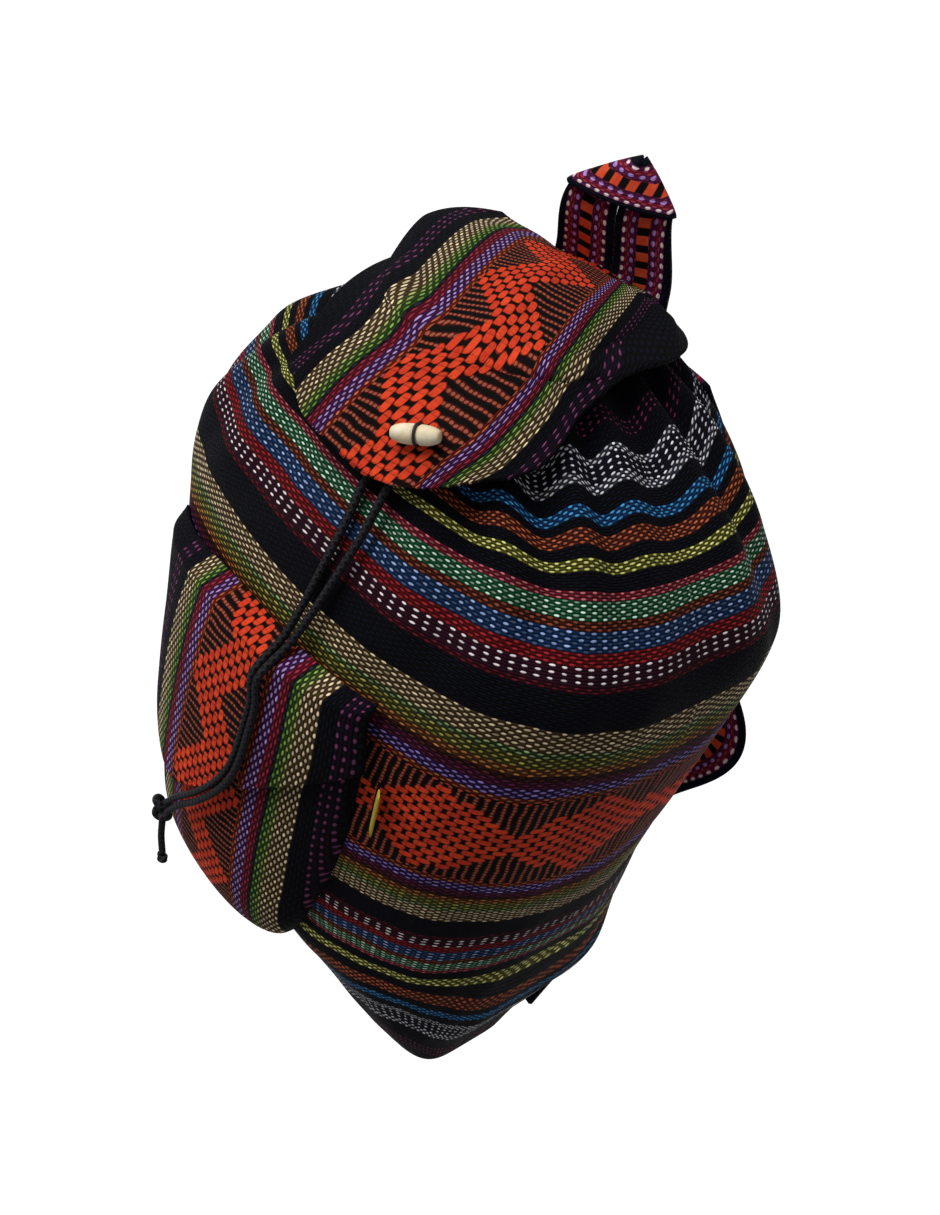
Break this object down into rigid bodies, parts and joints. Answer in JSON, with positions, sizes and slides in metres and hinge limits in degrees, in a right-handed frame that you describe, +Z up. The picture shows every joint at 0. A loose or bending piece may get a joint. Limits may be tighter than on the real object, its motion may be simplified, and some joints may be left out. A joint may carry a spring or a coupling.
{
  "type": "woven drawstring backpack",
  "caption": "Small stuffed backpack of striped handwoven cotton with a flap, a flapped front pocket, webbing straps, a hanging loop, draw cords and a toggle.",
  "frame": {"origin": "the place inside the bend of the hanging loop where a hook would sit", "axes": "+Z up, +X to the bag's own left as seen from the front, the front with the pocket faces -Y"},
  "size_m": [0.2752, 0.2621, 0.4164],
  "materials": {
    "body_cloth": "navy cotton plain weave with many coloured stripes",
    "flap_cloth": "cotton strip cloth with an orange zigzag band and cream and violet stripes",
    "webbing": "narrow woven band, navy edges, white dashes and orange blocks",
    "cord": "round braided black cord",
    "wood": "pale smooth bone-coloured wood",
    "thread": "dark sewing thread",
    "tag_ribbon": "blank folded ribbon, yellow with a navy edge"
  },
  "bodies": {
    "root": {"bag_body": "body_cloth", "main_flap": "flap_cloth", "front_pocket": "flap_cloth", "pocket_flap": "flap_cloth", "hang_loop": "webbing", "shoulder_strap_right": "webbing", "strap_anchor_right": "webbing", "shoulder_strap_left": "webbing", "strap_anchor_left": "webbing", "toggle": "wood", "toggle_thread": "thread", "cord_left": "cord", "cord_right": "cord", "cord_knot": "cord", "cord_tail": "cord", "tail_knot": "cord", "side_tag": "tag_ribbon"}
  },
  "joints": []
}
